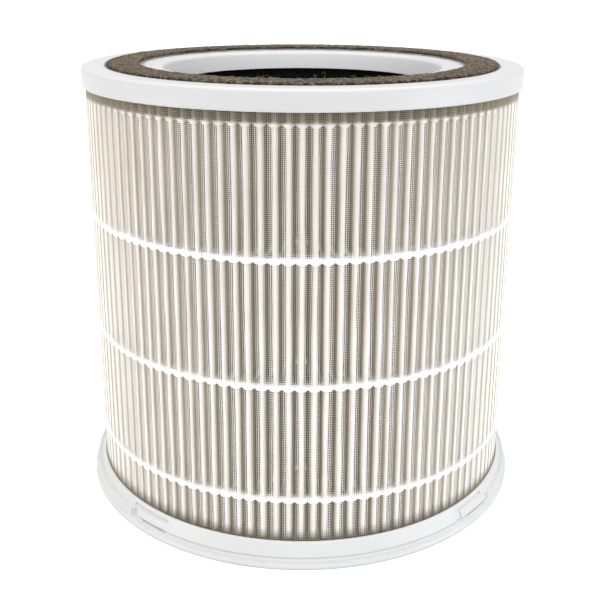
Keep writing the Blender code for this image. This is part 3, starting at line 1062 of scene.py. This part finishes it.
def build_inner_net(material):
    """A diamond net sleeve: two sets of strands that cross round the bore."""
    vertices = []
    faces = []
    radius = (INNER_NET.inner + INNER_NET.outer) / 2
    height = INNER_NET.high - INNER_NET.low
    turn_rate = 1.0 / radius
    for hand in (1, -1):
        for strand in range(NET_STRANDS):
            start = 2 * pi * strand / NET_STRANDS
            path = []
            for step in range(NET_STEPS + 1):
                z = INNER_NET.low + height * step / NET_STEPS
                azimuth = start + hand * (z - INNER_NET.low) * turn_rate
                path.append(Vector(at(radius + hand * CROSSING_OFFSET, azimuth, z)))
            add_strand(vertices, faces, path, NET_STRAND_RADIUS)
    net = make_object("bore_net", vertices, faces, material)
    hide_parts("carbon_inner_net")


def build_carbon(material):
    """The bed as one closed ring: lumpy towards the bore, plain at its ends and outside."""
    height = CARBON.high - CARBON.low
    vertices = []
    for i in range(GRANULE_COLUMNS):
        azimuth = 2 * pi * i / GRANULE_COLUMNS
        for j in range(GRANULE_ROWS):
            z = CARBON.low + height * j / (GRANULE_ROWS - 1)
            spot = Vector(at(CARBON.inner, azimuth, z)) * GRANULES_PER_METRE
            distances, _ = noise.voronoi(spot)
            lump = min(1.0, distances[0]) * GRANULE_DEPTH
            vertices.append(at(CARBON.inner + lump, azimuth, z))
        vertices.append(at(CARBON.outer, azimuth, CARBON.high))
        vertices.append(at(CARBON.outer, azimuth, CARBON.low))
    faces = [face[::-1] for face in grid_faces(GRANULE_COLUMNS, GRANULE_ROWS + 2, True, True)]
    bed = make_object("carbon_granules", vertices, faces, material)
    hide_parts("carbon_bed")


# ---------------------------------------------------------------- studio

CAMERA_DISTANCE = 0.3901
CAMERA_ABOVE_TOP = 0.0379
CAMERA_SIDE = 0.0005
CAMERA_PITCH = 0.281
CAMERA_ROLL = 0.0041
CAMERA_LENS = 55.48
CAMERA_SHIFT = (-0.005, -0.1103)

SKY_HORIZON = 0.19
SKY_TOP = 2.2
HORIZON_HAZE = 0.83
HAZE_FADE = (0.10, 0.24)          # upward parts of the direction over which the haze ends
FRONT_GLOW = 2.15
FRONT_GLOW_DIRECTION = (0.0, -0.4, 0.917)
FLOOR_SIZE = 80.0
FOOT = (0.0, -0.1, 0.0)
LIGHTS = (
    # name, place, aimed at, size, power in watts, colour
    ("left_box", (-0.62, -0.30, 0.08), FOOT, (0.5, 0.35), 0.24, (1.0, 0.98, 0.955)),
    ("right_box", (0.62, -0.30, 0.08), FOOT, (0.5, 0.35), 0.42, (0.74, 0.92, 1.0)),
    ("left_low", (-0.33, -0.19, 0.1), (-0.26, -0.15, 0.0), (0.2, 0.1), 0.2, (1.0, 1.0, 1.0)),
    ("right_low", (0.33, -0.19, 0.1), (0.26, -0.15, 0.0), (0.2, 0.1), 0.26, (0.82, 0.95, 1.0)),
)


def build_camera():
    """The camera that took the photo, as solved from the cartridge's circles."""
    data = bpy.data.cameras.new("camera")
    data.lens = CAMERA_LENS
    data.sensor_width = 36.0
    data.shift_x, data.shift_y = CAMERA_SHIFT
    data.clip_start = 0.01
    camera = bpy.data.objects.new("camera", data)
    camera.location = (CAMERA_SIDE, -CAMERA_DISTANCE, CAP_TOP_Z + CAMERA_ABOVE_TOP)
    aim = Euler((pi / 2 - CAMERA_PITCH, 0.0, 0.0)).to_matrix()
    roll = Euler((0.0, 0.0, CAMERA_ROLL)).to_matrix()
    camera.rotation_euler = (aim @ roll).to_euler()
    bpy.context.scene.collection.objects.link(camera)
    bpy.context.scene.camera = camera


def area_light(name, location, target, size, power, colour):
    """A rectangular lamp that faces its target."""
    data = bpy.data.lights.new(name, "AREA")
    data.shape = "RECTANGLE"
    data.size, data.size_y = size
    data.energy = power
    data.color = colour
    light = bpy.data.objects.new(name, data)
    light.location = location
    aim = Vector(target) - light.location
    light.rotation_euler = aim.to_track_quat("-Z", "Y").to_euler()
    bpy.context.scene.collection.objects.link(light)


def sky_strength(n):
    """Brightness by direction: bright overhead, hazy at the horizon, with a glow high in front."""
    up = n.math("MAXIMUM", n.axes("Generated")["Z"], 0.0)
    overhead = n.remap(n.math("POWER", up, 2.0), 0.0, 1.0, SKY_HORIZON, SKY_TOP)
    haze = n.remap(up, *HAZE_FADE, HORIZON_HAZE, 0.0)
    facing = n.add("ShaderNodeVectorMath", operation="DOT_PRODUCT")
    facing.inputs[1].default_value = FRONT_GLOW_DIRECTION
    n.link(n.coordinates("Generated"), facing.inputs[0])
    lobe = n.math("POWER", n.math("MAXIMUM", facing.outputs["Value"], 0.0), 4.0)
    return n.math("MULTIPLY_ADD", lobe, FRONT_GLOW, n.math("ADD", overhead, haze))


def build_studio():
    """White sky, four lamps and the floor."""
    world = bpy.data.worlds.new("studio")
    world.use_nodes = True
    n = Nodes(world.node_tree)
    sky = world.node_tree.nodes["Background"]
    sky.inputs["Color"].default_value = (1.0, 1.0, 1.0, 1.0)
    n.link(sky_strength(n), sky.inputs["Strength"])
    bpy.context.scene.world = world
    for light in LIGHTS:
        area_light(*light)
    bpy.ops.mesh.primitive_plane_add(size=FLOOR_SIZE)
    floor = bpy.context.active_object
    floor.name = "floor"
    floor.data.materials.append(studio_floor())
    bpy.context.scene.view_settings.view_transform = "Standard"


def main():
    """Builds every visible piece, and gives a material to each CAD solid that stays."""
    plastic = white_plastic("white_plastic_top", 0.475)
    # The base's plastic is the top's plastic painted a little darker: painted shade that offsets the
    # floor's bounce light on the bottom cap.
    base_plastic_painted_darker = white_plastic("white_plastic_base_painted_shade", 0.462)
    glue = hot_melt("hot_melt_glue_white", False)
    line_glue = hot_melt("hot_melt_glue_lines", True)
    net = black_net()
    potting = shaded_potting_glue()
    build_camera()
    build_studio()
    build_top_cap(plastic)
    build_bottom_cap(base_plastic_painted_darker)
    build_paper(filter_paper())
    build_mesh_sleeve(nylon_mesh())
    for number, centre in zip(BEADS, BEAD_Z):
        build_bead(number, centre, line_glue, bridged=number > 1)
    build_gasket(felt())
    build_fibres(felt_fibre())
    build_inner_net(net)
    build_carbon(activated_carbon())
    kept = {
        "carbon_outer_net": net,
        "gasket_adhesive": adhesive_film(),
        "top_potting": potting,
        "bottom_potting": potting,
        "pleat_seam_strip": glue,
    }
    kept.update({"inner_glue_bead_%d" % number: glue for number in BEADS})
    for node, material in kept.items():
        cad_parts[node].data.materials.clear()
        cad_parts[node].data.materials.append(material)


main()
